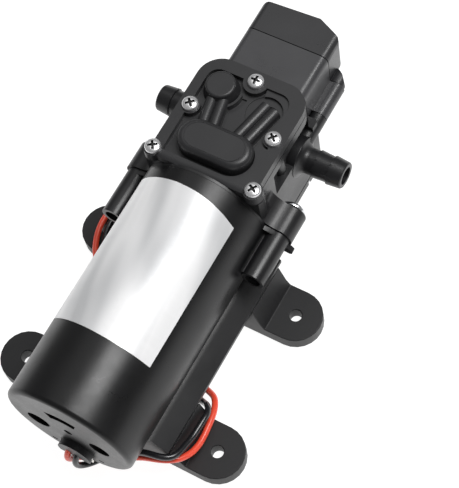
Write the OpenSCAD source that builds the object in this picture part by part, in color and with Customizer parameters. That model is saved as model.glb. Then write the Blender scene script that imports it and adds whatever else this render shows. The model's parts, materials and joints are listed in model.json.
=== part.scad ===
// Small 12 V diaphragm water pump for a caravan or camper.
// X runs across the feet, Y from the rear of the motor to the pressure switch,
// Z is up. The origin is the centre of the four foot holes, on the floor.

/* [Feet] */
// Hole spacing across the pump
foot_px = 77.5; // [76:0.5:79]
// Hole spacing along the pump
foot_py = 56.0; // [55:0.5:57]
// Diameter of a foot hole
foot_hole_d = 4.4; // [4:0.1:5]
// Radius of a foot's rounded ear
ear_r = 9.75; // [9.5:0.05:10]
// Thickness of a foot's ear
foot_t = 6.0; // [5.5:0.1:6.5]

/* [Motor] */
// Outer radius of the motor can
can_r = 23.6; // [23.5:0.05:23.7]
// Wall of the motor can
can_t = 1.3; // [1.3:0.1:1.4]
// Height of the motor shaft above the floor
zm = 34.7; // [34.5:0.1:34.9]
// Rear face of the motor
can_y0 = -51.5; // [-52:0.1:-51]
// Throw of the eccentric
ecc_e = 1.2; // [1.0:0.1:1.2]

/* [Head] */
// Height of the two hose ports
zp = 32.9; // [32.7:0.1:33.1]
// Distance of the hose ports from the middle of the feet
port_y = 72.3; // [72:0.1:72.6]
// Tip of a hose port, from the middle
port_x = 37.0; // [36:0.5:38]
// Radius of a hose port's bore
bore_r = 3.3; // [3:0.1:3.4]
// Half width of the pump head
head_w = 20.3; // [20.2:0.1:20.5]
// Top of the cover's rim
rim_z = 57.0; // [57:0.1:57.2]

/* [Switch box] */
// Half width of the upper box
box_w = 16.0; // [15.8:0.1:16.2]
// Top of the box
box_z = 52.0; // [51.6:0.1:52.2]
// Far end of the box
box_y = 115.0; // [114.5:0.1:115.2]

/* [Leads] */
// Outer diameter of a supply lead
lead_d = 2.4; // [2.2:0.1:2.4]

/* [Hidden] */
$fn = 48;

// towers of the motor bracket and the long screws in them
tx = 27.6; tz = 34.3; tr = 4.2; cr = 5.1;
// centre of the diaphragm and its valves
dy = 56; vx = 6.6; vy = 52.6;
// cover screws: one at the far edge, two at the sides, two at the motor end
CS = [[0, 80.1], [-16, 62.9], [16, 62.9], [-19.2, 43.1], [19.2, 43.1]];
// crankcase screws
KS = [[-17.4, 56.4], [17.4, 56.4], [-17.4, 74.0], [17.4, 74.0]];
// vertical water passages
wx = 9.3;

module cy(x, z, y0, y1, r) translate([x, y0, z]) rotate([-90, 0, 0]) cylinder(r = r, h = y1 - y0);
module cx(y, z, x0, x1, r) translate([x0, y, z]) rotate([0, 90, 0]) cylinder(r = r, h = x1 - x0);
module cz(x, y, z0, z1, r) translate([x, y, z0]) cylinder(r = r, h = z1 - z0);
module bx(x0, x1, y0, y1, z0, z1) translate([x0, y0, z0]) cube([x1 - x0, y1 - y0, z1 - z0]);
module ext_y(y0, y1) translate([0, y1, 0]) rotate([90, 0, 0]) linear_extrude(height = y1 - y0) children();
module ext_z(z0, z1) translate([0, 0, z0]) linear_extrude(height = z1 - z0) children();
module both() { children(); mirror([1, 0, 0]) children(); }
module on_motor(y) translate([0, y, zm]) rotate([-90, 0, 0]) children();

function arc(x, y, r, a, b, n) = [for (i = [0:n]) [x + r * cos(a + (b - a) * i / n), y + r * sin(a + (b - a) * i / n)]];
function stadium(x, y, l, r) = concat(arc(x + l, y, r, -90, 90, 12), arc(x - l, y, r, 90, 270, 12));
function rounded(x0, x1, y0, y1, r) = concat(arc(x0 + r, y0 + r, r, 180, 270, 5), arc(x1 - r, y0 + r, r, 270, 360, 5),
  arc(x1 - r, y1 - r, r, 0, 90, 5), arc(x0 + r, y1 - r, r, 90, 180, 5));

// a round wire swept along a smooth curve that follows points
function bs4(a, b, c, d, t) = (pow(1 - t, 3) * a + (3 * t * t * t - 6 * t * t + 4) * b + (3 * t * t + 3 * t + 1 - 3 * t * t * t) * c + t * t * t * d) / 6;
function spaced(P, n) = [for (i = [0:n - 1]) let(m = len(P) - 1, t = i * m / (n - 1), k = min(floor(t), m - 1))
  bs4(k == 0 ? 2 * P[0] - P[1] : P[k - 1], P[k], P[k + 1], k + 2 > m ? 2 * P[m] - P[m - 1] : P[k + 2], t - k)];
function unit(v) = v / norm(v);
function flat(v, t) = unit(v - (v * t) * t);
function tangents(C) = [for (i = [0:len(C) - 1]) unit(C[min(i + 1, len(C) - 1)] - C[max(i - 1, 0)])];
function carry(T, i, v) = i >= len(T) ? [] : concat([flat(v, T[i])], carry(T, i + 1, flat(v, T[i])));
module wire(C, r, s, v0) {
  T = tangents(C);
  N = carry(T, 0, v0);
  n = len(C);
  pts = [for (i = [0:n - 1]) for (j = [0:s - 1])
    C[i] + r * (cos(360 * j / s) * N[i] + sin(360 * j / s) * cross(T[i], N[i]))];
  faces = concat([[for (j = [0:s - 1]) j]],
    [for (i = [0:n - 2]) for (j = [0:s - 1]) [i * s + j, (i + 1) * s + j, (i + 1) * s + (j + 1) % s, i * s + (j + 1) % s]],
    [[for (j = [s - 1:-1:0]) (n - 1) * s + j]]);
  polyhedron(points = pts, faces = faces, convexity = 10);
}
function helix(r, h, turns, k) = [for (i = [0:turns * k]) [r * cos(360 * i / k), r * sin(360 * i / k), h * i / (turns * k)]];

// outline of the pump head seen from above
head_pts = concat(arc(-19.2, 43.1, 3.4, 109, 322, 14), arc(19.2, 43.1, 3.4, 218, 431, 14),
  arc(head_w - 9, 75.4, 9, 0, 90, 10), arc(9 - head_w, 75.4, 9, 90, 180, 10));
module head_outline() polygon(head_pts);
// outline of the switch box seen from above, w wider
module box_plan(w, y0, y1) polygon(concat([[-box_w - w, y0], [box_w + w, y0]],
  [[box_w + w, y1 - 6.0], [15.6 + w, y1 - 4.9], [14.8 + w, y1 - 3.9], [6.1 + w, y1]], arc(2.6 - box_w - w, y1 - 3.7, 2.6, 90, 180, 5)));

// ---------------------------------------------------------------- motor
module motor_can() color([0.13, 0.13, 0.14]) difference() {
  union() {
    on_motor(can_y0) rotate_extrude() difference() {
      union() {
        translate([0, 1.8]) square([can_r, 40 - can_y0 - 1.8]);
        square([can_r - 1.8, 3]);
        translate([can_r - 1.8, 1.8]) circle(1.8);
      }
      translate([-5, -5]) square([5, 120]);
      translate([0, can_t]) square([can_r - can_t, 100]);
    }
    cy(0, zm, can_y0 + 1, -43.9, 6.2);
  }
  cy(0, zm, can_y0 + can_t, -43, 4.55);
  cy(0, zm, can_y0 - 1, -49, 1.5);
  // three air vents in the rear face
  cy(-12.3, zm - 3.2, can_y0 - 1, -49, 4.2);
  cy(11.4, zm - 2.4, can_y0 - 1, -49, 3.8);
  intersection() {
    difference() { cy(0, zm - 2, can_y0 - 1, -49, 14.6); cy(0, zm - 2, can_y0 - 2, -48, 10.7); }
    ext_y(can_y0 - 3, -48) polygon([[0, zm - 2], [-10, zm + 17], [7.6, zm + 17]]);
  }
  // crimp marks and the window of the terminal block
  for (s = [-1, 1]) bx(s * 9.2 - 1, s * 9.2 + 1, can_y0 - 1, can_y0 + 0.6, zm - 17.4, zm - 16.5);
  ext_y(can_y0 - 1, -49) polygon(stadium(0, 21.6, 3.0, 2.9));
}
module rear_bush() color([0.62, 0.47, 0.25]) difference() {
  cy(0, zm, -49.9, -44.2, 4.5);
  cy(0, zm, -51, -43, 2.53);
}
module brush_card() color([0.55, 0.36, 0.2]) difference() {
  cy(0, zm, -41.5, -39.4, 22.2);
  cy(0, zm, -45, -38, 7.5);
  for (s = [-1, 1]) {
    cy(s * 12.1, zm + 9, -45, -38, 4);
    cy(s * 12.1, zm - 9, -45, -38, 2.4);
    bx(s * 3.4 - 1.7, s * 3.4 + 1.7, -45, -38, 20.7, 22.5);
  }
}
module brush_tubes() color([0.72, 0.57, 0.28]) both() difference() {
  bx(7.4, 20, -39.35, -32.7, zm - 2.9, zm + 2.9);
  bx(7, 19.4, -38.7, -33.3, zm - 2.2, zm + 2.2);
}
module brushes() color([0.12, 0.12, 0.12]) both() bx(5.6, 14, -38.6, -33.4, zm - 2.1, zm + 2.1);
module brush_springs() color([0.6, 0.6, 0.6]) both() translate([14.05, -36, zm]) rotate([0, 90, 0])
  translate([0, 0, 0.3]) wire(helix(1.4, 4.6, 4, 10), 0.25, 6, [1, 0, 0]);
module terminal_block() color([0.08, 0.08, 0.085]) difference() {
  union() {
    ext_y(-53.9, can_y0) polygon(arc(0.2, 19.5, 6.3, -22, 202, 26));
    ext_y(can_y0, -48.6) polygon(stadium(0, 21.6, 3.0, 2.8));
  }
  for (s = [-1, 1]) bx(s * 3.4 - 1.2, s * 3.4 + 1.2, -52.9, -48, 21.2, 22.0);
  bx(-6.3, -2.2, -52.9, -52.1, 19, 22.0);
  bx(-6.5, -3.7, -52.9, -52.1, 15, 19.5);
  bx(2.2, 4.6, -52.9, -52.1, 15, 22.0);
  bx(3.7, 6.5, -52.9, -52.1, 15, 19.5);
}
module motor_terminals() color([0.75, 0.7, 0.6]) {
  for (s = [-1, 1]) union() {
    bx(s * 3.4 - 1.1, s * 3.4 + 1.1, -52.8, -41.6, 21.25, 21.95);
    bx(s * 4.1 - 0.5, s * 4.1 + 0.5, -52.8, -52.2, 19.1, 21.95);
    bx(s * 5.1 - 1.3, s * 5.1 + 1.3, -52.8, -52.2, 16.2, 19.4);
  }
}
module magnets() color([0.22, 0.22, 0.23]) both() intersection() {
  difference() { cy(0, zm, -20, 20, 22.2); cy(0, zm, -21, 21, 19.6); }
  ext_y(-22, 22) polygon([[0, zm], [24, zm - 28], [40, zm], [24, zm + 28]]);
}
module motor_shaft() color([0.75, 0.75, 0.76]) union() {
  cy(0, zm, -50.0, 44, 2.5);
  cy(0, zm, 43.5, 51.8, 2.0);
}
module armature_core() color([0.4, 0.4, 0.42]) difference() {
  cy(0, zm, -14, 14, 19);
  cy(0, zm, -19, 19, 2.54);
  for (a = [0:45:315]) translate([0, 0, zm]) rotate([0, a, 0]) {
    bx(8, 16.5, -19, 19, -2.4, 2.4);
    bx(16, 20, -19, 19, -0.8, 0.8);
  }
}
module armature_windings() color([0.65, 0.3, 0.12]) union() {
  for (a = [0:45:315]) translate([0, 0, zm]) rotate([0, a, 0]) bx(8.4, 16.2, -16, 16, -2.1, 2.1);
  for (s = [-1, 1]) translate([0, 18.5 * s, zm]) rotate([90, 0, 0]) rotate_extrude()
    polygon([[7.2, -3.4], [14.6, -3.4], [16.8, -1.6], [16.8, 1.6], [14.6, 3.4], [7.2, 3.4]]);
}
module commutator() color([0.72, 0.42, 0.22]) difference() {
  union() { cy(0, zm, -40, -29.5, 5.5); cy(0, zm, -29.5, -28, 6.8); }
  cy(0, zm, -41, -27, 2.54);
  for (a = [0:45:315]) translate([0, 0, zm]) rotate([0, a + 20, 0]) bx(4.6, 7.5, -41, -27, -0.25, 0.25);
}
module thrust_washers() color([0.7, 0.68, 0.6]) {
  difference() { cy(0, zm, -43.8, -42.9, 4.2); cy(0, zm, -45, -42, 2.56); }
  difference() { cy(0, zm, 31.4, 32.4, 4.2); cy(0, zm, 31, 33, 2.56); }
}
module front_end_plate() color([0.5, 0.5, 0.52]) difference() {
  union() { cy(0, zm, 38.4, 39.95, 22.2); cy(0, zm, 33, 38.5, 7); cy(0, zm, 39.9, 42.4, 7.9); }
  cy(0, zm, 32, 43, 4.55);
  for (a = [35, 145, 215, 325]) cy(14.5 * cos(a), zm + 14.5 * sin(a), 37, 41, 2.6);
}
module front_bush() color([0.62, 0.47, 0.25]) difference() {
  cy(0, zm, 33.2, 42.2, 4.5);
  cy(0, zm, 32, 43, 2.53);
}
module rating_label() color([0.82, 0.82, 0.83]) intersection() {
  difference() { cy(0, zm, -24.2, 34.7, can_r + 0.2); cy(0, zm, -30, 36, can_r + 0.02); }
  ext_z(zm, 70) polygon([[-24, -22.4], [-12, -23.2], [0, -23.9], [8, -24.2], [24, -24.2], [24, 28.6], [18, 30.9], [14, 32.2], [9, 33.4], [3, 34.2], [-5, 34.7], [-24, 34.7]]);
  translate([0, 0, zm]) rotate([0, -5, 0]) ext_y(-30, 36) polygon([[0, 0], [32 * sin(-54), 32 * cos(54)], [-20, 40], [20, 40], [32 * sin(54), 32 * cos(54)]]);
}

// ---------------------------------------------------------------- base
module base_cradle() color([0.14, 0.14, 0.15]) difference() {
  ext_y(-39.2, 39.6) polygon([[-20.6, 24.0], [-22.8, 23.2], [-28, 18.9], [-28, 17.3], [-25, 8.6], [-24.4, 6.2],
    [24.4, 6.2], [25, 8.6], [28, 17.3], [28, 18.9], [22.8, 23.2], [20.6, 24.0]]);
  cy(0, zm, -60, 60, can_r + 0.06);
  bx(-4, 4, -60, 60, 8.2, 16);
  // moulded pockets in the underside
  difference() {
    for (s = [-1, 1]) for (j = [0, 1]) for (i = [0:3]) bx(s * (9.6 + 8.8 * j) - 3.6, s * (9.6 + 8.8 * j) + 3.6, -16.2 + 8.4 * i, -9.2 + 8.4 * i, 5, 30);
    cy(0, zm, -60, 60, can_r + 2.2);
  }
  for (x = [-15, 15]) for (y = [-foot_py / 2, foot_py / 2]) cz(x, y, 5, 11, 2.2);
}
module foot(y) color([0.1, 0.1, 0.105]) difference() {
  translate([0, y, 0]) union() {
    // profile across the pump: flat ears, rising shoulders and the seat under the cradle
    intersection() {
      ext_y(-ear_r, ear_r) polygon([[-50, 0], [50, 0], [50, foot_t], [31.6, foot_t], [30.2, 8.6], [28.4, 14.5], [27.85, 16.6],
        [25.05, 8.6], [24.45, 6.15], [-24.45, 6.15], [-25.05, 8.6], [-27.85, 16.6], [-28.4, 14.5], [-30.2, 8.6], [-31.6, foot_t], [-50, foot_t]]);
      ext_z(-1, 20) polygon(stadium(0, 0, foot_px / 2, ear_r));
    }
    for (x = [-15, 15]) cz(x, 0, 6, 8.3, 2.15);
  }
  for (s = [-1, 1]) cz(s * foot_px / 2, y, -1, foot_t + 1, foot_hole_d / 2);
}
module front_foot() foot(foot_py / 2);
module rear_foot() foot(-foot_py / 2);
module motor_bracket() color([0.15, 0.15, 0.16]) difference() {
  union() {
    cy(0, zm, 40, 41, can_r);
    both() {
      cy(tx, tz, 22.6, 41, tr);
      bx(20, tx, 23.4, 40.5, tz - 2.2, tz + 2.2);
      ext_y(39.2, 41) polygon([[20, tz - 6], [tx, tz - 4.9], [32.4, tz - 5.6], [33.4, tz - 4.9], [33.6, tz - 3.6], [32.6, tz - 2.4], [tx + 2, tz], [tx, tz + 4], [20, tz + 6]]);
    }
  }
  cy(0, zm, 22, 40, can_r + 0.06);
  cy(0, zm, 39, 42, 8.1);
  both() { cy(tx, tz, 20, 43, 2.06); cy(tx, tz, 20, 27, 2.9); }
}
module housing_screws() color([0.78, 0.78, 0.8]) both() difference() {
  union() {
    cy(tx, tz, 24.6, 52.5, 2.0);
    cy(tx, tz, 52.02, 52.8, 4.3);
    translate([tx, 52.8, tz]) rotate([-90, 0, 0]) rotate_extrude()
      polygon(concat([[0, 0], [3.5, 0], [3.5, 0.3]], [for (a = [15:15:90]) [3.5 * cos(a), 0.3 + 1.2 * sin(a)]]));
  }
  bx(tx - 2, tx + 2, 53.4, 56, tz - 0.45, tz + 0.45);
  bx(tx - 0.45, tx + 0.45, 53.4, 56, tz - 2, tz + 2);
}

// ---------------------------------------------------------------- pump head
module port(r) {
  // hose barb: a root cone, a neck and two sharp shoulders
  translate([20.5, port_y, zp]) rotate([0, 90, 0]) rotate_extrude()
    polygon(concat([[0, -7], [7.6, -7], [7.6, -0.3]], arc(7.75, 3.0, 3.0, 267, 180, 8), [[4.75, 5.4], [5.15, 5.5], [4.8, 10.9], [5.35, 11.1], [4.9, port_x - 20.9], [4.6, port_x - 20.5], [0, port_x - 20.5]]));
}
module side_recess() difference() {
  children();
  both() difference() { bx(17.2, 26, 54, 80.6, 37, 49); cz(16, 62.9, 36, 50, 3.0); }
}
module pump_body() color([0.12, 0.12, 0.13]) difference() {
  union() {
    // upper block
    side_recess() ext_z(38.7, 52.8) head_outline();
    // crankcase, front wall, port blocks and base flange
    bx(-14, 14, 42, 51, 20, 40);
    bx(-14, 14, 42, 50.7, 17, 21);
    side_recess() ext_z(15, 40) polygon(rounded(-20.3, 20.3, 50.75, 84.4, 1.2));
    ext_y(41, 46.4) polygon([[-21.3, 52.7], [-21.4, 48.3], [-22.4, 41.2], [-24.2, 38.6], [-22, 22], [-14, 14.5], [14, 14.5], [22, 22], [24.2, 38.6], [22.4, 41.2], [21.4, 48.3], [21.3, 52.7]]);
    both() {
      // collars of the long screws, with a rounded far end
      translate([tx, 41, tz]) rotate([-90, 0, 0]) rotate_extrude()
        polygon(concat([[0, 0], [cr, 0]], arc(cr - 0.9, 10.1, 0.9, 0, 90, 5), [[0, 11]]));
      ext_y(41, 51.3) polygon([[12, 44.5], [20.3, 44.5], [21.2, 42.9], [22.6, 41.3], [24.6, 40.0], [26.2, 39.5], [27.6, 39.4], [27.6, 30.4], [22, 26], [12, 24]]);
      port(0);
      // bosses for the switch box screws
      cy(18.3, 35, 74, 87.9, 3.1);
      cy(11.9, 18.2, 80, 87.9, 3.1);
    }
    bx(-15.5, 15.5, 79.6, 88, 14.6, 38);
  }
  // the head starts in front of the motor
  bx(-30, 30, 36, 41.05, 10, 60);
  // crank room, diaphragm pocket and shaft opening
  cy(0, zm, 45, 53, 10.2);
  cz(0, dy, 10, 50, 11.5);
  bx(-12, 12, 51.2, 61.2, 10, 46.2);
  cz(0, dy, 46.2, 60, 14.6);
  cy(0, zm, 30, 52, 8.1);
  // water ways
  both() {
    cx(port_y, zp, wx, 60, bore_r);
    cz(wx, port_y, zp, 60, 2.6);
  }
  // pressure sensing way to the switch
  cz(wx, port_y, 26, zp, 1.4);
  cy(wx, 26, port_y - 0.6, 80, 1.4);
  cy(0, 26, 79, 86.5, 2.2);
  bx(0, wx + 1.2, 78.4, 80.8, 24.8, 27.2);
  cy(0, 26, 86.2, 90, 8);
  // screw holes
  for (p = CS) cz(p[0], p[1], 42.4, 60, 1.5);
  for (p = KS) cz(p[0], p[1], 10, 20.6, 1.5);
  both() {
    cy(tx, tz, 40, 53, 2.3);
    cy(18.3, 35, 79, 90, 1.3);
    cy(11.9, 18.2, 81, 90, 1.3);
  }
}
module crankcase_cover() color([0.15, 0.15, 0.16]) difference() {
  union() {
    // plate flush with the head, with a shadow groove above it and a shallow pan in the middle
    ext_z(11.1, 14.3) polygon(rounded(-20.3, 20.3, 50.75, 79.5, 1.2));
    ext_z(14.2, 15) polygon(rounded(-19.4, 19.4, 51.65, 78.6, 1));
  }
  cz(0, dy + 2, 12.6, 16, 12.6);
  for (p = KS) { cz(p[0], p[1], 9, 18, 1.75); cz(p[0], p[1], 9, 12.9, 2.95); }
}
module crankcase_screws() color([0.75, 0.75, 0.77]) for (p = KS) difference() {
  union() { cz(p[0], p[1], 12.9, 20.3, 1.45); cz(p[0], p[1], 11.2, 12.9, 2.8); }
  bx(p[0] - 1.6, p[0] + 1.6, p[1] - 0.35, p[1] + 0.35, 9, 12.1);
  bx(p[0] - 0.35, p[0] + 0.35, p[1] - 1.6, p[1] + 1.6, 9, 12.1);
}
module eccentric() color([0.74, 0.6, 0.3]) difference() {
  union() {
    cy(0, zm, 46.4, 52.3, 6.4);
    // crank pin with its shoulder
    translate([ecc_e, 0, 0]) { cy(0, zm, 52.2, 58.9, 1.98); cy(0, zm, 52.2, 53.3, 3.0); }
    // counterweight opposite the throw
    ext_y(46.4, 50.1) polygon(concat([[-2, zm - 6], [-2, zm + 6]], arc(0, zm, 9.6, 132, 228, 16)));
  }
  cy(0, zm, 45, 52.0, 2.04);
  cz(0, 49.4, zm, zm + 7, 1.25);
}
module eccentric_screw() color([0.3, 0.3, 0.32]) difference() {
  cz(0, 49.4, zm + 2.15, zm + 6.2, 1.2);
  cz(0, 49.4, zm + 5, zm + 7, 0.6);
}
module eccentric_bearing() color([0.78, 0.78, 0.8]) translate([ecc_e, 0, 0]) {
  difference() { cy(0, zm, 53.35, 58.35, 3.1); cy(0, zm, 53, 59, 2.0); }
  difference() { cy(0, zm, 53.35, 58.35, 6.5); cy(0, zm, 53, 59, 5.4); }
  for (a = [0:45:315]) translate([4.25 * cos(a), 55.85, zm + 4.25 * sin(a)]) sphere(r = 1.05);
}
module connecting_rod() color([0.86, 0.85, 0.8]) difference() {
  union() {
    for (s = [-1, 1]) cy(0, zm + s * ecc_e, 53.4, 58.3, 9.8);
    bx(-9.8, 9.8, 53.4, 58.3, zm - ecc_e, zm + ecc_e);
    cz(0, dy, 43.6, 46.15, 5.5);
  }
  for (s = [-1, 1]) cy(0, zm + s * ecc_e, 50, 62, 8.1);
  bx(-8.1, 8.1, 50, 62, zm - ecc_e, zm + ecc_e);
  cz(0, dy, 43, 60, 1.55);
}
module clamp_disc() color([0.7, 0.7, 0.72]) difference() {
  cz(0, dy, 47.75, 48.95, 5.5);
  cz(0, dy, 47, 50, 1.6);
  translate([0, dy, 48.0]) cylinder(r1 = 1.6, r2 = 3.1, h = 1.0);
}
module diaphragm_screw() color([0.75, 0.75, 0.77]) difference() {
  union() { cz(0, dy, 44.4, 48.2, 1.5); translate([0, dy, 48.05]) cylinder(r1 = 1.5, r2 = 2.75, h = 0.85); }
  bx(-1.4, 1.4, dy - 0.3, dy + 0.3, 48.3, 50);
  bx(-0.3, 0.3, dy - 1.4, dy + 1.4, 48.3, 50);
}
module diaphragm() color([0.16, 0.16, 0.16]) translate([0, dy, 0]) rotate_extrude()
  polygon([[1.62, 46.2], [6.2, 46.2], [7.4, 45.4], [9.2, 44.9], [10.4, 45.5], [11.3, 46.25], [14.4, 46.25], [14.4, 47.7],
    [11, 47.7], [9.6, 46.8], [8.2, 46.7], [6.8, 47.5], [6.2, 47.7], [1.62, 47.7]]);
module valve_plate() color([0.8, 0.8, 0.77]) difference() {
  union() {
    cz(0, dy, 47.75, 52.8, 14.4);
    ext_z(52.8, 55) polygon(stadium(0, 52.6, 7, 4.9));
  }
  translate([0, dy, 47.7]) cylinder(r1 = 11.2, r2 = 9.2, h = 2.7);
  // inlet pocket under the plate
  cz(-vx, vy, 49, 52.4, 4.4);
  for (s = [-1, 1]) {
    cz(s * vx, vy, 50, 56, 0.85);
    for (a = [0:60:300]) cz(s * vx + 2.3 * cos(a), vy + 2.3 * sin(a), 50, 56, 0.75);
  }
}
module valve_pins() color([0.7, 0.7, 0.72]) {
  cz(-vx, vy, 50.7, 54.8, 0.8);
  cz(-vx, vy, 50.5, 50.9, 1.7);
  cz(vx, vy, 51, 56.9, 0.8);
  cz(vx, vy, 56.7, 57.2, 1.7);
}
module inlet_valve() color([0.75, 0.35, 0.2]) difference() { cz(-vx, vy, 51.45, 52.35, 3.9); cz(-vx, vy, 51, 53, 0.88); }
module outlet_valve() color([0.75, 0.35, 0.2]) difference() { cz(vx, vy, 55.05, 55.95, 3.9); cz(vx, vy, 55, 57, 0.88); }
module cover_gasket() color([0.1, 0.1, 0.1]) difference() {
  ext_z(52.8, 53.3) offset(delta = -0.9) head_outline();
  ext_z(52, 54) polygon(stadium(0, 52.6, 7.1, 5.1));
  both() cz(wx, port_y, 52, 54, 2.8);
  for (p = CS) cz(p[0], p[1], 52, 54, 1.75);
}
// two parallel channels with round tops, from one point to another
module channel(r, z, f) for (e = [[-6.9, 59.3, 10.8, 11.0], [6.4, 59.6, -12.7, 14.1]])
  translate([e[0], e[1], 0]) rotate([0, 0, e[2]]) for (s = [-1, 1]) {
    translate([s * 1.95, -4.5, z]) rotate([-90, 0, 0]) cylinder(r = r, h = e[3] + 4.5 - f);
    if (f == 0) bx(s * 1.95 - r, s * 1.95 + r, -4.5, e[3], 54, z);
  }
// a dome with one big rounded edge along a stadium of half length l
module dome(x, y, l, r, z, e) {
  p = concat([[0, 54], [r, 54]], arc(r - e, z - e, e, 0, 90, 8), [[0, z]]);
  for (s = [-1, 1]) translate([x + s * l, y, 0]) rotate_extrude() polygon(p);
  translate([x - l, y, 0]) rotate([90, 0, 90]) linear_extrude(height = 2 * l)
    polygon(concat([[-r, 54], [r, 54]], arc(r - e, z - e, e, 0, 90, 8), arc(e - r, z - e, e, 90, 180, 8)));
}
module cover_plate() color([0.15, 0.15, 0.16]) difference() {
  union() {
    difference() {
      ext_z(53.3, rim_z) head_outline();
      // sunk field round the dome, the channels and the chamber
      difference() {
        ext_z(54.8, 60) polygon(concat([[-16.2, 43.9]], arc(6.7, 51.5, 7.6, -90, 48, 12), [[12.7, 61.2], [13.9, 68.2]],
          arc(8.1, 71.2, 6.4, -20, 118, 12), [[4.6, 79.7]], arc(-12.3, 75.4, 4.3, 90, 180, 6), [[-16.4, 60]]));
        cz(0, 80.1, 53, 61, 4.5);
        cz(-16, 62.9, 53, 61, 3.5);
      }
      // shallow ledge round the far end of the right channel
      difference() {
        ext_z(56.0, 60) polygon(concat([[3.5, 75], [3.5, 79.7]], arc(10.4, 75.1, 4.6, 90, 0, 6), [[14.6, 71.5], [8, 70]]));
        cz(0, 80.1, 53, 61, 4.5);
      }
      // groove beside the right screw
      intersection() {
        difference() { cz(16, 62.9, 55.4, 60, 4.2); cz(16, 62.9, 54, 61, 3.4); }
        bx(8, 16.1, 56, 62.7, 50, 61);
      }
      // sloping edge above the motor
      translate([-17, 0, 0]) rotate([90, 0, 90]) linear_extrude(height = 34) polygon([[38, 54.4], [42.9, 57.05], [42.9, 60], [38, 60]]);
    }
    dome(0, 52.1, 7.1, 6.7, 60.8, 2.3);
    channel(2.1, 56.1, 0);
    // round chamber with its rounded top and base
    translate([-9.75, 73.3, 0]) rotate_extrude() polygon(concat([[0, 54], [6.4, 54], [6.4, 55.3]], arc(4.4, 58.5, 1.0, 0, 90, 6), [[0, 59.5]]));
    // curved ridge beside it
    intersection() {
      difference() { cz(-9.75, 73.3, 54, 56.4, 7.8); cz(-9.75, 73.3, 53, 60, 6.9); }
      ext_z(50, 60) polygon([[-9.75, 73.3], [0, 61.5], [2, 68], [2, 74.4]]);
    }
  }
  // groove outside the ridge
  intersection() {
    difference() { cz(-9.75, 73.3, 54.1, 60, 9.7); cz(-9.75, 73.3, 53, 61, 7.85); }
    ext_z(50, 60) polygon([[-9.75, 73.3], [-1.5, 62.5], [3, 66], [3, 73.7]]);
    bx(-4.2, 4, 60, 80, 50, 60);
  }
  // line of the top panel, and of the round pad
  difference() {
    ext_z(60.6, 62) polygon(stadium(0, 52.1, 6.2, 5.0));
    ext_z(60.5, 63) polygon(stadium(0, 52.1, 6.2, 4.75));
  }
  intersection() {
    difference() { cz(8.1, 71.2, 54.5, 55.2, 6.9); cz(8.1, 71.2, 54, 56, 6.6); }
    bx(0, 4.6, 66, 78, 50, 60);
  }
  // inside of the dome, one chamber for each valve
  difference() {
    ext_z(52, 59.3) polygon(stadium(0, 52.6, 7, 5.1));
    bx(-0.7, 0.7, 40, 70, 55.1, 70);
  }
  channel(1.0, 56.1, 2.2);
  cz(-wx, port_y, 52, 58.4, 2.6);
  cz(wx, port_y, 52, 56.2, 2.6);
  for (p = CS) cz(p[0], p[1], 52, 60, 1.75);
}
module cover_screws() color([0.8, 0.8, 0.82]) for (p = CS) translate([p[0], p[1], 0]) difference() {
  union() {
    cz(0, 0, 43.2, rim_z, 1.45);
    translate([0, 0, rim_z]) rotate_extrude() polygon(concat([[0, 0], [2.85, 0], [2.85, 0.8]], [for (a = [15:15:90]) [2.85 * cos(a) , 0.8 + 1.1 * sin(a)]]));
  }
  for (a = [0, 90]) rotate([0, 0, a + p[0] * 3]) bx(-1.75, 1.75, -0.42, 0.42, rim_z + 0.6, rim_z + 3);
  cz(0, 0, rim_z + 0.6, rim_z + 3, 0.75);
}

// ---------------------------------------------------------------- pressure switch
module upper_box(y0, y1, w) intersection() {
  ext_y(y0, y1) polygon(concat([[-w, 36.5], [w, 36.5]], arc(w - 3, box_z - box_w + w - 3, 3, 0, 90, 6), arc(3 - w, box_z - box_w + w - 3, 3, 90, 180, 6)));
  ext_z(0, 80) box_plan(w - box_w, y0 - 1, box_y - box_w + w);
}
module lower_box(y0, y1, d) intersection() {
  ext_y(y0, y1) polygon(concat(arc(-11.8, 18.4, 4 - d, 180, 270, 5), arc(11.8, 18.4, 4 - d, 270, 360, 5),
    arc(13.7, 35.4 - d, 2.1 - d, 0, 90, 5), arc(-13.7, 35.4 - d, 2.1 - d, 90, 180, 5)));
  ext_z(0, 80) box_plan(-d, y0 - 1, box_y - 1.6 - d);
}
module switch_housing() color([0.17, 0.17, 0.18]) difference() {
  union() {
    difference() { upper_box(84.7, 101.4, box_w); bx(-20, 20, 80, 88, 30, 38.3); }
    lower_box(88.1, 101.4, 0);
    both() { cy(18.3, 35, 88.1, 101.6, 3.1); bx(14, 18.3, 88.1, 101.3, 33.4, 38); }
  }
  both() cy(18.3, 35, 98.2, 104, 2.4);
  // room for the microswitch and for the spring
  bx(-13.8, 13.8, 93, 102, 38, 50);
  bx(-6, 6, 93, 102, 30, 40);
  cy(0, 26, 92, 102, 9.2);
  cy(0, 26, 87, 93, 5.2);
  cy(0, 26, 87.9, 88.9, 8);
  bx(-4, 4, 93, 102, 14.4, 20);
  cz(0, 96, 10, 16, 3.4);
  both() {
    cy(18.3, 35, 86, 101, 1.6);
    cy(11.9, 18.2, 86, 102, 1.6);
  }
}
module switch_screws() color([0.75, 0.75, 0.77]) both() {
  cy(18.3, 35, 79.6, 98.4, 1.25);
  cy(18.3, 35, 98.25, 99.9, 2.3);
  cy(11.9, 18.2, 81.6, 101.6, 1.25);
}
module switch_diaphragm() color([0.16, 0.16, 0.16]) translate([0, 86.25, 26]) rotate([-90, 0, 0]) rotate_extrude()
  polygon([[0, 0], [3, 0], [4.2, 0.7], [5.2, 0.1], [7.9, 0.1], [7.9, 2.6], [5.3, 2.6], [4.6, 1.6], [3.6, 1.9], [3, 1.4], [0, 1.4]]);
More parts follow.
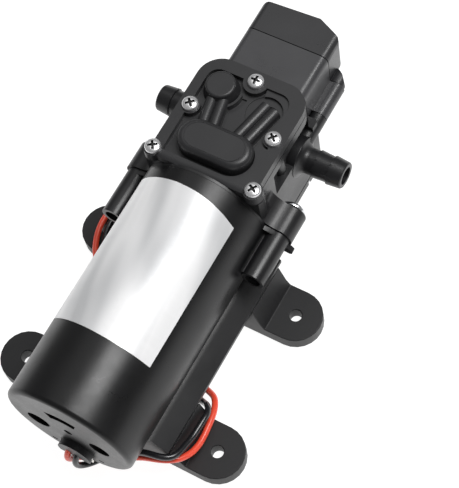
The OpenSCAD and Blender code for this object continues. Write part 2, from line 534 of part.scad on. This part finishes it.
module switch_plunger() color([0.85, 0.85, 0.82]) union() {
  cy(0, 26, 88.6, 95.2, 4.6);
  cy(0, 26, 87.7, 88.7, 3.0);
  cy(0, 26, 93.2, 95.2, 7.6);
  cy(0, 26, 95.2, 99, 2.6);
  // arm up to the microswitch button
  bx(-3, 3, 93.2, 95.2, 30, 44.5);
}
module switch_spring() color([0.65, 0.65, 0.67]) translate([0, 95.65, 26]) rotate([-90, 0, 0])
  wire(helix(4.4, 9.6, 5, 14), 0.4, 6, [0, 0, 1]);
module adjusting_screw() color([0.72, 0.58, 0.3]) difference() {
  union() { cy(0, 26, 105.8, 112.6, 3.95); cy(0, 26, 105.8, 107, 5.6); cy(0, 26, 102.4, 106, 2.4); }
  bx(-3.2, 3.2, 111.6, 114, 25.5, 26.5);
}
module microswitch() color([0.12, 0.12, 0.13]) difference() {
  bx(-9.9, 9.9, 96.8, 103.2, 39.2, 49.4);
  cy(0, 42.6, 96, 98.6, 1.4);
}
module microswitch_button() color([0.75, 0.15, 0.12]) cy(0, 42.6, 95.25, 97.6, 1.3);
module microswitch_terminals() color([0.78, 0.76, 0.7]) for (x = [-6.2, 0, 6.2]) bx(x - 1.5, x + 1.5, 103.2, 108.2, 43.9, 44.5);
module switch_cap() color([0.14, 0.14, 0.15]) difference() {
  union() {
    upper_box(101.7, box_y, box_w);
    lower_box(101.7, box_y - 1.6, 0);
    upper_box(101.4, 101.8, box_w - 0.6);
    lower_box(101.4, 101.8, 0.6);
    both() intersection() { cy(18.0, 35.2, 101.7, 110, 3.0); ext_z(30, 40) polygon([[10, 101], [21.2, 101], [21.2, 102.6], [18.6, 105.6], [15.6, 107.6], [10, 108]]); }
  }
  difference() {
    bx(-13.8, 13.8, 101, 109.6, 38, 50);
    bx(8, 20, 106.6, 120, 30, 60);
  }
  cy(0, 26, 101, 107.1, 9.2);
  cy(0, 26, 101, 120, 4.0);
  both() cy(11.9, 18.2, 101, 103, 1.6);
}
module switch_grommet() color([0.08, 0.08, 0.08]) difference() {
  union() { cz(0, 96, 11.1, 14.4, 3.3); cz(0, 96, 10.4, 12.05, 4.5); }
  for (s = [-1, 1]) cz(s * 1.5, 96, 9, 16, 1.2);
}
// supply leads: round the rear right foot, under the base, over the front left foot
RED = [[-2.2, -52.6, 19.9], [-2.4, -54.4, 18.1], [-2.7, -55.1, 15.6], [-2.7, -54.7, 13.1], [-2.4, -53.2, 10.6], [-1.0, -51.0, 8.4], [2.8, -48.8, 6.7], [8.6, -46.6, 6.8],
  [14.4, -44.6, 10.6], [19.6, -42.8, 13.9], [25.2, -41.6, 14.9], [30.0, -39.2, 14.4], [32.6, -35.0, 12.2], [33.4, -30.6, 10.6], [33.2, -26.0, 10.1],
  [32.6, -21.6, 9.9], [31.9, -17.2, 9.3], [29.9, -13.0, 8.0], [27.4, -10.8, 5.8], [23.4, -9.4, 3.4], [18.2, -7.8, 2.1], [12.0, -5.2, 1.4], [3.0, -1.9, 1.3],
  [-8.0, 2.0, 1.3], [-18.0, 5.2, 1.3], [-26.4, 8.2, 1.7], [-31.8, 11.2, 4.6],
  [-36.4, 15.4, 7.6], [-39.6, 21.0, 7.5], [-41.6, 27.2, 7.5], [-41.5, 33.6, 7.5], [-39.0, 39.5, 7.7], [-33.8, 44.3, 4.6], [-26.8, 47.8, 1.7],
  [-18.5, 52.6, 1.3], [-10.0, 60.0, 1.3], [-5.0, 69.4, 1.3], [-2.6, 78.6, 1.3], [-1.6, 86.2, 1.3], [-1.5, 91.0, 2.2], [-1.5, 94.4, 4.8], [-1.5, 96.0, 8.2], [-1.5, 96.0, 10.6], [-1.5, 96.0, 12.6]];
BLACK = [[0.9, -52.6, 19.5], [0.8, -54.5, 17.8], [0.6, -55.4, 15.3], [0.8, -55.3, 12.7], [1.7, -54.0, 10.3], [3.8, -51.4, 9.0], [6.2, -48.2, 9.3],
  [11.0, -45.4, 11.4], [15.6, -43.4, 15.0], [20.2, -42.0, 17.4], [24.6, -41.6, 18.1], [28.8, -40.4, 17.8], [30.6, -37.1, 16.6], [30.6, -33.4, 15.2], [31.1, -29.4, 13.8],
  [31.1, -25.4, 13.6], [31.2, -21.6, 13.4], [31.0, -18.6, 12.6], [28.6, -16.0, 9.7], [26.6, -14.8, 6.0], [22.8, -13.6, 3.5], [18.6, -11.7, 2.5], [12.0, -8.6, 2.5], [5.0, -4.4, 3.5], [-1.0, -0.6, 4.5], [-8.0, 4.4, 3.9],
  [-16.6, 8.4, 2.2], [-24.2, 11.2, 2.1], [-29.4, 13.6, 4.7], [-33.4, 17.1, 8.1], [-36.5, 22.2, 7.6], [-38.6, 27.7, 7.5], [-38.5, 33.2, 7.6],
  [-36.3, 38.3, 8.1], [-31.4, 42.4, 4.4], [-24.6, 45.4, 1.7], [-17.0, 49.6, 1.3], [-8.6, 56.6, 1.3], [-1.2, 65.6, 1.3], [6.0, 74.0, 1.3]];
module red_lead() color([0.85, 0.12, 0.06]) wire(spaced(RED, 42), lead_d / 2, 8, [1, 0, 0]);
module black_lead() color([0.05, 0.05, 0.06]) wire(spaced(BLACK, 38), lead_d / 2, 8, [1, 0, 0]);

motor_can();
rear_bush();
brush_card();
brush_tubes();
brushes();
brush_springs();
terminal_block();
motor_terminals();
magnets();
motor_shaft();
armature_core();
armature_windings();
commutator();
thrust_washers();
front_end_plate();
front_bush();
rating_label();
base_cradle();
front_foot();
rear_foot();
motor_bracket();
housing_screws();
pump_body();
crankcase_cover();
crankcase_screws();
eccentric();
eccentric_screw();
eccentric_bearing();
connecting_rod();
clamp_disc();
diaphragm_screw();
diaphragm();
valve_plate();
valve_pins();
inlet_valve();
outlet_valve();
cover_gasket();
cover_plate();
cover_screws();
switch_housing();
switch_screws();
switch_diaphragm();
switch_plunger();
switch_spring();
adjusting_screw();
microswitch();
microswitch_button();
microswitch_terminals();
switch_cap();
switch_grommet();
red_lead();
black_lead();
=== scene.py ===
import json
import math

import bmesh
import bpy
from mathutils import Matrix, Vector


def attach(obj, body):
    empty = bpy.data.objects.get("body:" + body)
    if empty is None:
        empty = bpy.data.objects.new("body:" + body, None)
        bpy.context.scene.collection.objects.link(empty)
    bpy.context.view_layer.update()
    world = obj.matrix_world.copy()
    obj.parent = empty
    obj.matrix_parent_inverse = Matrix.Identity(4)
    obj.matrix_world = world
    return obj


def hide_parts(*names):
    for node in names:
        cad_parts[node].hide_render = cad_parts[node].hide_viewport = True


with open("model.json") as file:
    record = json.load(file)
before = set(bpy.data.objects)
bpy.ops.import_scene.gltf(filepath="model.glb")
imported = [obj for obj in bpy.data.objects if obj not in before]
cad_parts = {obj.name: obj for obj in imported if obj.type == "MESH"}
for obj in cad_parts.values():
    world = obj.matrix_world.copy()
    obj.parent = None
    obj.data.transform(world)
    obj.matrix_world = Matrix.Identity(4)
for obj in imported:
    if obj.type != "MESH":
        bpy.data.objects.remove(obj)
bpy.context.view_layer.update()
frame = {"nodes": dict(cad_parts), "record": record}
NODES = frame["nodes"]
SLOT_OF = {s["node"]: s["material_slot"] for s in frame["record"]["subparts"]}
BODY_OF = {n: b for b, ns in frame["record"]["behaviour"]["bodies"].items() for n in ns}
MM = 0.001
ZM = 34.7
scene = bpy.context.scene
scene.view_settings.view_transform = "Standard"
scene.view_settings.look = "None"
scene.view_settings.exposure = 0.0
scene.view_settings.gamma = 1.0


# ------------------------------------------------------------------ camera
def camera():
    right = Vector((0.8668, 0.4855, -0.1139))
    down = Vector((0.3942, -0.8070, -0.4399))
    forward = Vector((-0.3054, 0.3364, -0.8908)).normalized()
    right = (right - right.dot(forward) * forward).normalized()
    up = right.cross(forward).normalized()
    if up.dot(down) > 0:
        up = -up
    m = Matrix((
        (right.x, up.x, -forward.x, 182.43 * MM),
        (right.y, up.y, -forward.y, -154.22 * MM),
        (right.z, up.z, -forward.z, 525.60 * MM),
        (0, 0, 0, 1)))
    cam = bpy.data.cameras.new("photo_camera")
    cam.sensor_fit = "AUTO"
    cam.sensor_width = 36.0
    cam.lens = 120.0
    cam.clip_start = 0.01
    cam.clip_end = 50.0
    cam.dof.use_dof = False
    o = bpy.data.objects.new("photo_camera", cam)
    scene.collection.objects.link(o)
    o.matrix_world = m
    scene.camera = o
    return o


CAM = camera()


# ------------------------------------------------------------------ node helpers
def new_mat(name):
    m = bpy.data.materials.new(name)
    m.use_nodes = True
    nt = m.node_tree
    for n in list(nt.nodes):
        nt.nodes.remove(n)
    out = nt.nodes.new("ShaderNodeOutputMaterial")
    b = nt.nodes.new("ShaderNodeBsdfPrincipled")
    nt.links.new(b.outputs["BSDF"], out.inputs["Surface"])
    return m, nt, b


def coords(nt, scale=(1, 1, 1), rot=(0, 0, 0)):
    tc = nt.nodes.new("ShaderNodeTexCoord")
    mp = nt.nodes.new("ShaderNodeMapping")
    mp.inputs["Scale"].default_value = scale
    mp.inputs["Rotation"].default_value = rot
    nt.links.new(tc.outputs["Object"], mp.inputs["Vector"])
    return mp.outputs["Vector"]


def noise(nt, vec, scale, detail=3.0, rough=0.55, dist=0.0):
    n = nt.nodes.new("ShaderNodeTexNoise")
    n.inputs["Scale"].default_value = scale
    n.inputs["Detail"].default_value = detail
    n.inputs["Roughness"].default_value = rough
    n.inputs["Distortion"].default_value = dist
    nt.links.new(vec, n.inputs["Vector"])
    return n.outputs["Fac"]


def remap(nt, v, a, b, lo_, hi_):
    n = nt.nodes.new("ShaderNodeMapRange")
    n.inputs["From Min"].default_value = a
    n.inputs["From Max"].default_value = b
    n.inputs["To Min"].default_value = lo_
    n.inputs["To Max"].default_value = hi_
    nt.links.new(v, n.inputs["Value"])
    return n.outputs["Result"]


def math_node(nt, op, a, b=None):
    n = nt.nodes.new("ShaderNodeMath")
    n.operation = op
    for i, v in enumerate((a, b)):
        if v is None:
            continue
        if isinstance(v, (int, float)):
            n.inputs[i].default_value = v
        else:
            nt.links.new(v, n.inputs[i])
    return n.outputs[0]


def mix_rgb(nt, fac, c1, c2):
    n = nt.nodes.new("ShaderNodeMix")
    n.data_type = "RGBA"
    if isinstance(fac, (int, float)):
        n.inputs["Factor"].default_value = fac
    else:
        nt.links.new(fac, n.inputs["Factor"])
    for sock, c in ((n.inputs[6], c1), (n.inputs[7], c2)):
        if isinstance(c, tuple):
            sock.default_value = (*c, 1.0)
        else:
            nt.links.new(c, sock)
    return n.outputs[2]


def bump(nt, b, height, strength, distance):
    n = nt.nodes.new("ShaderNodeBump")
    n.inputs["Strength"].default_value = strength
    n.inputs["Distance"].default_value = distance
    nt.links.new(height, n.inputs["Height"])
    nt.links.new(n.outputs["Normal"], b.inputs["Normal"])
    return n


def surface(name, base, rough=0.5, metallic=0.0, vary=0.12, rvary=0.06, grain=2500.0, gbump=0.15, gdist=0.00004,
            blotch=60.0, spec=0.5, coat=0.0, coat_rough=0.2, stretch=(1, 1, 1), sheen=0.0):
    """Colour with slow variation, roughness with finer variation, and a fine grain in the bump."""
    m, nt, b = new_mat(name)
    v = coords(nt, stretch)
    slow = noise(nt, v, blotch, 4.0, 0.6, 0.4)
    fine = noise(nt, v, grain, 2.0, 0.6)
    dark = tuple(max(c * (1 - vary), 0) for c in base)
    light = tuple(min(c * (1 + vary), 1) for c in base)
    nt.links.new(mix_rgb(nt, remap(nt, slow, 0.3, 0.7, 0, 1), dark, light), b.inputs["Base Color"])
    r = math_node(nt, "ADD", remap(nt, slow, 0.3, 0.7, rough - rvary, rough + rvary), remap(nt, fine, 0.3, 0.7, -rvary * 0.5, rvary * 0.5))
    nt.links.new(r, b.inputs["Roughness"])
    b.inputs["Metallic"].default_value = metallic
    b.inputs["Specular IOR Level"].default_value = spec
    b.inputs["Coat Weight"].default_value = coat
    b.inputs["Coat Roughness"].default_value = coat_rough
    if sheen:
        b.inputs["Sheen Weight"].default_value = sheen
        b.inputs["Sheen Roughness"].default_value = 0.4
    bump(nt, b, fine, gbump, gdist)
    return m


MATS = {
    "can_paint": surface("can_paint", (0.006, 0.006, 0.0065), 0.34, vary=0.1, grain=1800, gbump=0.06, spec=0.42, coat=0.0),
    "sintered_bronze": surface("sintered_bronze", (0.5, 0.34, 0.16), 0.55, 1.0, grain=4000, gbump=0.3),
    "card_laminate": surface("card_laminate", (0.3, 0.16, 0.07), 0.5, vary=0.25, stretch=(1, 1, 4)),
    "brass_sheet": surface("brass_sheet", (0.75, 0.55, 0.25), 0.3, 1.0),
    "carbon": surface("carbon", (0.03, 0.03, 0.032), 0.55, 0.2, grain=5000, gbump=0.3),
    "spring_steel": surface("spring_steel", (0.6, 0.6, 0.62), 0.28, 1.0),
    "terminal_plastic": surface("terminal_plastic", (0.022, 0.022, 0.024), 0.42, spec=0.5),
    "tinned_tab": surface("tinned_tab", (0.72, 0.71, 0.68), 0.3, 1.0, vary=0.2, blotch=400),
    "ferrite": surface("ferrite", (0.07, 0.07, 0.075), 0.7, 0.0, grain=3000, gbump=0.3),
    "shaft_steel": surface("shaft_steel", (0.66, 0.66, 0.68), 0.22, 1.0, stretch=(1, 6, 1)),
    "lamination_steel": surface("lamination_steel", (0.36, 0.37, 0.4), 0.4, 1.0, stretch=(0.05, 1, 0.05), blotch=900, vary=0.3),
    "enamelled_wire": surface("enamelled_wire", (0.55, 0.2, 0.06), 0.3, 0.9, stretch=(1, 0.1, 1), blotch=1500, vary=0.35),
    "commutator_copper": surface("commutator_copper", (0.7, 0.36, 0.2), 0.3, 1.0, stretch=(0.1, 1, 0.1), blotch=1500),
    "washer_plastic": surface("washer_plastic", (0.6, 0.55, 0.42), 0.5),
    "zinc_steel": surface("zinc_steel", (0.6, 0.6, 0.61), 0.35, 1.0, vary=0.15, blotch=250),
    "cradle_plastic": surface("cradle_plastic", (0.014, 0.014, 0.015), 0.45, vary=0.12, grain=2200, gbump=0.12, spec=0.5),
    "foot_rubber": surface("foot_rubber", (0.014, 0.014, 0.015), 0.55, vary=0.25, grain=2600, gbump=0.25, spec=0.4, sheen=0.15),
    "body_plastic": surface("body_plastic", (0.0105, 0.0105, 0.0115), 0.36, vary=0.12, grain=2400, gbump=0.12, spec=0.5),
    "screw_zinc": surface("screw_zinc", (0.78, 0.79, 0.81), 0.2, 1.0, vary=0.12, blotch=500, grain=3000, gbump=0.08),
    "brass_turned": surface("brass_turned", (0.78, 0.6, 0.3), 0.25, 1.0),
    "black_steel": surface("black_steel", (0.06, 0.06, 0.065), 0.35, 0.8),
    "bearing_steel": surface("bearing_steel", (0.72, 0.72, 0.74), 0.15, 1.0, stretch=(1, 6, 1)),
    "rod_acetal": surface("rod_acetal", (0.74, 0.73, 0.68), 0.35, vary=0.04),
    "steel_disc": surface("steel_disc", (0.66, 0.66, 0.68), 0.25, 1.0),
    "diaphragm_rubber": surface("diaphragm_rubber", (0.02, 0.02, 0.021), 0.6, grain=2600, gbump=0.2, sheen=0.1),
    "valve_plastic": surface("valve_plastic", (0.6, 0.58, 0.53), 0.45, vary=0.05),
    "valve_rubber": surface("valve_rubber", (0.42, 0.1, 0.05), 0.5, vary=0.1),
    "cover_plastic": surface("cover_plastic", (0.022, 0.022, 0.0235), 0.4, vary=0.1, grain=2300, gbump=0.22, spec=0.5),
    "housing_plastic": surface("housing_plastic", (0.045, 0.045, 0.048), 0.32, vary=0.1, grain=2300, gbump=0.12, spec=0.6),
    "cap_plastic": surface("cap_plastic", (0.026, 0.026, 0.028), 0.32, vary=0.1, grain=2300, gbump=0.12, spec=0.6),
    "button_red": surface("button_red", (0.6, 0.05, 0.03), 0.4, vary=0.05),
    "pvc_red": surface("pvc_red", (0.98, 0.085, 0.04), 0.35, vary=0.1, blotch=150, grain=1200, gbump=0.05, spec=0.5, coat=0.3, coat_rough=0.15),
    "pvc_black": surface("pvc_black", (0.012, 0.012, 0.014), 0.25, vary=0.1, blotch=150, grain=1200, gbump=0.05, spec=0.5, coat=0.3, coat_rough=0.12),
}


def label_film():
    """Blank silver film with fine brushing and soft broad patches of light painted into its colour as highlight bands.
    """
    m, nt, b = new_mat("label_foil")
    tc = nt.nodes.new("ShaderNodeTexCoord")
    sep = nt.nodes.new("ShaderNodeSeparateXYZ")
    nt.links.new(tc.outputs["Object"], sep.inputs[0])
    ang = math_node(nt, "ARCTAN2", sep.outputs["X"], math_node(nt, "SUBTRACT", sep.outputs["Z"], ZM * MM))
    arc = math_node(nt, "MULTIPLY", ang, 23.8 * MM)
    comb = nt.nodes.new("ShaderNodeCombineXYZ")
    nt.links.new(math_node(nt, "MULTIPLY", arc, 0.035), comb.inputs["X"])
    nt.links.new(sep.outputs["Y"], comb.inputs["Y"])
    lines = noise(nt, comb.outputs[0], 9000.0, 3.0, 0.7)
    soft = noise(nt, comb.outputs[0], 700.0, 2.0, 0.6)
    band = nt.nodes.new("ShaderNodeCombineXYZ")
    nt.links.new(math_node(nt, "ADD", arc, math_node(nt, "MULTIPLY", sep.outputs["Y"], 0.18)), band.inputs["X"])
    nt.links.new(math_node(nt, "MULTIPLY", sep.outputs["Y"], 0.22), band.inputs["Y"])
    # painted highlight: broad lighter bands in the film's colour stand in for its reflections
    painted_highlight_patches = noise(nt, band.outputs[0], 95.0, 1.0, 0.4)
    film_with_painted_highlights = mix_rgb(nt, remap(nt, painted_highlight_patches, 0.36, 0.64, 0, 1), (0.6, 0.605, 0.615), (0.98, 0.98, 0.985))
    col = mix_rgb(nt, remap(nt, lines, 0.3, 0.7, 0.0, 0.16), film_with_painted_highlights, (0.82, 0.825, 0.83))
    nt.links.new(col, b.inputs["Base Color"])
    b.inputs["Metallic"].default_value = 0.12
    nt.links.new(remap(nt, soft, 0.3, 0.7, 0.32, 0.42), b.inputs["Roughness"])
    bump(nt, b, lines, 0.12, 0.00003)
    return m


MATS["label_foil"] = label_film()

RIM = 57.0
SCREWS = [(0, 80.1), (-16, 62.9), (16, 62.9), (-19.2, 43.1), (19.2, 43.1)]


def plated_head(name, top):
    """Bright plating with painted shade in its cross recess: near-black and not metallic below the dome's surface and
    near a screw's axis.
    """
    m, nt, b = new_mat(name)
    v = coords(nt)
    tc = nt.nodes.new("ShaderNodeTexCoord")
    sep = nt.nodes.new("ShaderNodeSeparateXYZ")
    nt.links.new(tc.outputs["Object"], sep.inputs[0])
    near = None
    for x, y in SCREWS:
        dx = math_node(nt, "SUBTRACT", sep.outputs["X"], x * MM)
        dy = math_node(nt, "SUBTRACT", sep.outputs["Y"], y * MM)
        d = math_node(nt, "SQRT", math_node(nt, "ADD", math_node(nt, "MULTIPLY", dx, dx), math_node(nt, "MULTIPLY", dy, dy)))
        near = d if near is None else math_node(nt, "MINIMUM", near, d)
    # the dome falls away from its crown by about r * r / 13 mm
    dome = math_node(nt, "SUBTRACT", top * MM, math_node(nt, "MULTIPLY", math_node(nt, "MULTIPLY", near, near), 1000.0 / 13.2))
    deep = math_node(nt, "GREATER_THAN", math_node(nt, "SUBTRACT", dome, sep.outputs["Z"]), 0.2 * MM)
    # painted shade: the cross recess is coloured near-black and not metallic, standing in for the shadow inside it
    painted_recess_shade = math_node(nt, "MULTIPLY", deep, math_node(nt, "LESS_THAN", near, 2.05 * MM))
    slow = noise(nt, v, 500.0, 2.0, 0.5)
    col = mix_rgb(nt, remap(nt, slow, 0.3, 0.7, 0, 1), (0.8, 0.8, 0.81), (0.93, 0.93, 0.94))
    nt.links.new(mix_rgb(nt, painted_recess_shade, col, (0.012, 0.012, 0.012)), b.inputs["Base Color"])
    nt.links.new(math_node(nt, "MULTIPLY", math_node(nt, "SUBTRACT", 1.0, painted_recess_shade), 0.8), b.inputs["Metallic"])
    nt.links.new(remap(nt, slow, 0.3, 0.7, 0.24, 0.32), b.inputs["Roughness"])
    return m


MATS["screw_zinc_head"] = plated_head("screw_zinc_head", RIM + 1.9)


# ------------------------------------------------------------------ pieces from the CAD shapes
def paint(obj, slot):
    obj.data.materials.clear()
    obj.data.materials.append(MATS[slot])
    for p in obj.data.polygons:
        p.material_index = 0


for name_, obj_ in NODES.items():
    paint(obj_, SLOT_OF[name_])


def dress(node, width, segs=2, angle=30.0, mat=None):
    """A new piece of the CAD node's shape, its flat faces merged and its edges rounded."""
    src = NODES[node]
    bm = bmesh.new()
    bm.from_mesh(src.data)
    bmesh.ops.remove_doubles(bm, verts=bm.verts, dist=2e-6)
    bmesh.ops.dissolve_limit(bm, angle_limit=math.radians(0.4), verts=bm.verts, edges=bm.edges)
    me = bpy.data.meshes.new(node + "_skin")
    bm.to_mesh(me)
    bm.free()
    o = bpy.data.objects.new(node + "_skin", me)
    scene.collection.objects.link(o)
    me.materials.append(MATS[mat or SLOT_OF[node]])
    me.polygons.foreach_set("use_smooth", [True] * len(me.polygons))
    if width:
        mod = o.modifiers.new("round", "BEVEL")
        mod.width = width * MM
        mod.segments = segs
        mod.limit_method = "ANGLE"
        mod.angle_limit = math.radians(angle)
        mod.use_clamp_overlap = True
        mod.harden_normals = True
        mod.miter_outer = "MITER_ARC"
    wn = o.modifiers.new("normals", "WEIGHTED_NORMAL")
    wn.keep_sharp = True
    wn.weight = 60
    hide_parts(node)
    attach(o, BODY_OF[node])
    return o


DRESSED = {
    "motor_can": 0.5, "motor_bracket": 0.35, "pump_body": 0.35, "cover_plate": 0.35, "switch_housing": 0.4,
    "switch_cap": 0.5, "base_cradle": 0.5, "front_foot": 0.7, "rear_foot": 0.7, "crankcase_cover": 0.5,
    "terminal_block": 0.5, "housing_screws": 0.25, "cover_screws": 0.12, "crankcase_screws": 0.2,
}
for n_, w_ in DRESSED.items():
    dress(n_, w_, mat="screw_zinc_head" if n_ == "cover_screws" else None)


# ------------------------------------------------------------------ free leads
RED = [[-2.2, -52.6, 19.9], [-2.4, -54.4, 18.1], [-2.7, -55.1, 15.6], [-2.7, -54.7, 13.1], [-2.4, -53.2, 10.6], [-1.0, -51.0, 8.4], [2.8, -48.8, 6.7], [8.6, -46.6, 6.8],
       [14.4, -44.6, 10.6], [19.6, -42.8, 13.9], [25.2, -41.6, 14.9], [30.0, -39.2, 14.4], [32.6, -35.0, 12.2], [33.4, -30.6, 10.6], [33.2, -26.0, 10.1],
       [32.6, -21.6, 9.9], [31.9, -17.2, 9.3], [29.9, -13.0, 8.0], [27.4, -10.8, 5.8], [23.4, -9.4, 3.4], [18.2, -7.8, 2.1], [12.0, -5.2, 1.4], [3.0, -1.9, 1.3],
       [-8.0, 2.0, 1.3], [-18.0, 5.2, 1.3], [-26.4, 8.2, 1.7], [-31.8, 11.2, 4.6],
       [-36.4, 15.4, 7.6], [-39.6, 21.0, 7.5], [-41.6, 27.2, 7.5], [-41.5, 33.6, 7.5], [-39.0, 39.5, 7.7], [-33.8, 44.3, 4.6], [-26.8, 47.8, 1.7],
       [-18.5, 52.6, 1.3], [-10.0, 60.0, 1.3], [-5.0, 69.4, 1.3], [-2.6, 78.6, 1.3], [-1.6, 86.2, 1.3], [-1.5, 91.0, 2.2], [-1.5, 94.4, 4.8], [-1.5, 96.0, 8.2], [-1.5, 96.0, 10.6], [-1.5, 96.0, 12.6]]
BLACK = [[0.9, -52.6, 19.5], [0.8, -54.5, 17.8], [0.6, -55.4, 15.3], [0.8, -55.3, 12.7], [1.7, -54.0, 10.3], [3.8, -51.4, 9.0], [6.2, -48.2, 9.3],
         [11.0, -45.4, 11.4], [15.6, -43.4, 15.0], [20.2, -42.0, 17.4], [24.6, -41.6, 18.1], [28.8, -40.4, 17.8], [30.6, -37.1, 16.6], [30.6, -33.4, 15.2], [31.1, -29.4, 13.8],
         [31.1, -25.4, 13.6], [31.2, -21.6, 13.4], [31.0, -18.6, 12.6], [28.6, -16.0, 9.7], [26.6, -14.8, 6.0], [22.8, -13.6, 3.5], [18.6, -11.7, 2.5], [12.0, -8.6, 2.5], [5.0, -4.4, 3.5], [-1.0, -0.6, 4.5], [-8.0, 4.4, 3.9],
         [-16.6, 8.4, 2.2], [-24.2, 11.2, 2.1], [-29.4, 13.6, 4.7], [-33.4, 17.1, 8.1], [-36.5, 22.2, 7.6], [-38.6, 27.7, 7.5], [-38.5, 33.2, 7.6],
         [-36.3, 38.3, 8.1], [-31.4, 42.4, 4.4], [-24.6, 45.4, 1.7], [-17.0, 49.6, 1.3], [-8.6, 56.6, 1.3], [-1.2, 65.6, 1.3], [6.0, 74.0, 1.3]]


def smooth_route(P, k):
    """Uniform cubic B-spline that starts and ends on the route's first and last point."""
    V = [Vector(p) for p in P]
    V = [2 * V[0] - V[1]] + V + [2 * V[-1] - V[-2]]
    out = []
    for i in range(len(V) - 3):
        a, b, c, d = V[i:i + 4]
        for j in range(k):
            t = j / k
            out.append(((1 - t) ** 3 * a + (3 * t ** 3 - 6 * t * t + 4) * b + (-3 * t ** 3 + 3 * t * t + 3 * t + 1) * c + t ** 3 * d) / 6)
    out.append(Vector(P[-1]))
    return out


def tube(name, pts, r, sides, slot):
    """A round tube along the points, with turned-in ends, carried without twist."""
    bm = bmesh.new()
    n = len(pts)
    T = [(pts[min(i + 1, n - 1)] - pts[max(i - 1, 0)]).normalized() for i in range(n)]
    N = Vector((1, 0, 0))
    rings = []
    for i in range(n):
        N = (N - N.dot(T[i]) * T[i]).normalized()
        B = T[i].cross(N)
        rings.append([bm.verts.new(pts[i] + r * (math.cos(2 * math.pi * j / sides) * N + math.sin(2 * math.pi * j / sides) * B)) for j in range(sides)])
    for i in range(n - 1):
        for j in range(sides):
            bm.faces.new((rings[i][j], rings[i][(j + 1) % sides], rings[i + 1][(j + 1) % sides], rings[i + 1][j]))
    bm.faces.new(list(reversed(rings[0])))
    bm.faces.new(rings[-1])
    bmesh.ops.recalc_face_normals(bm, faces=bm.faces)
    me = bpy.data.meshes.new(name)
    bm.to_mesh(me)
    bm.free()
    me.polygons.foreach_set("use_smooth", [len(p.vertices) == 4 for p in me.polygons])
    me.materials.append(MATS[slot])
    o = bpy.data.objects.new(name, me)
    scene.collection.objects.link(o)
    return o


def lead(node, route, slot):
    pts = [p * MM for p in smooth_route(route, 5)]
    o = tube(node + "_wire", pts, 1.15 * MM, 16, slot)
    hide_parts(node)
    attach(o, BODY_OF[node])
    return o


lead("red_lead", RED, "pvc_red")
lead("black_lead", BLACK, "pvc_black")


# ------------------------------------------------------------------ stage
def stage():
    me = bpy.data.meshes.new("floor")
    bm = bmesh.new()
    s = 3.0
    vs = [bm.verts.new((x * s, y * s, 0)) for x, y in ((-1, -1), (1, -1), (1, 1), (-1, 1))]
    bm.faces.new(vs)
    bm.to_mesh(me)
    bm.free()
    o = bpy.data.objects.new("floor", me)
    scene.collection.objects.link(o)
    m, nt, b = new_mat("floor_painted_glow")
    v = coords(nt)
    n = noise(nt, v, 6.0, 2.0)
    nt.links.new(mix_rgb(nt, n, (0.29, 0.29, 0.29), (0.31, 0.31, 0.31)), b.inputs["Base Color"])
    b.inputs["Roughness"].default_value = 0.8
    b.inputs["Specular IOR Level"].default_value = 0.1
    # painted light: the floor glows by its own emission, strongest near the pump and fading further out, a painted
    # pool of light that washes out the shadows on it
    b.inputs["Emission Color"].default_value = (1.0, 1.0, 1.0, 1.0)
    far = nt.nodes.new("ShaderNodeVectorMath")
    far.operation = "LENGTH"
    nt.links.new(v, far.inputs[0])
    nt.links.new(remap(nt, far.outputs["Value"], 0.18, 0.55, 0.95, 0.5), b.inputs["Emission Strength"])
    me.materials.append(m)


def area(name, loc, target, size, power, size_y=None, color=(1, 1, 1)):
    d = bpy.data.lights.new(name, "AREA")
    d.energy = power
    d.size = size
    d.color = color
    if size_y:
        d.shape = "RECTANGLE"
        d.size_y = size_y
    o = bpy.data.objects.new(name, d)
    scene.collection.objects.link(o)
    o.location = loc
    o.rotation_euler = (Vector(target) - Vector(loc)).to_track_quat("-Z", "Y").to_euler()
    return o


stage()
world = bpy.data.worlds.new("soft_room")
scene.world = world
world.use_nodes = True
bg = world.node_tree.nodes["Background"]
bg.inputs["Color"].default_value = (1, 1, 1, 1)
bg.inputs["Strength"].default_value = 0.2
area("top_box", (0.32, 0.27, 0.95), (0, 0.02, 0.03), 0.5, 8.0, 0.5)
area("top_fill", (-0.45, 0.5, 1.1), (0, 0.02, 0.03), 0.8, 1.1, 0.8)
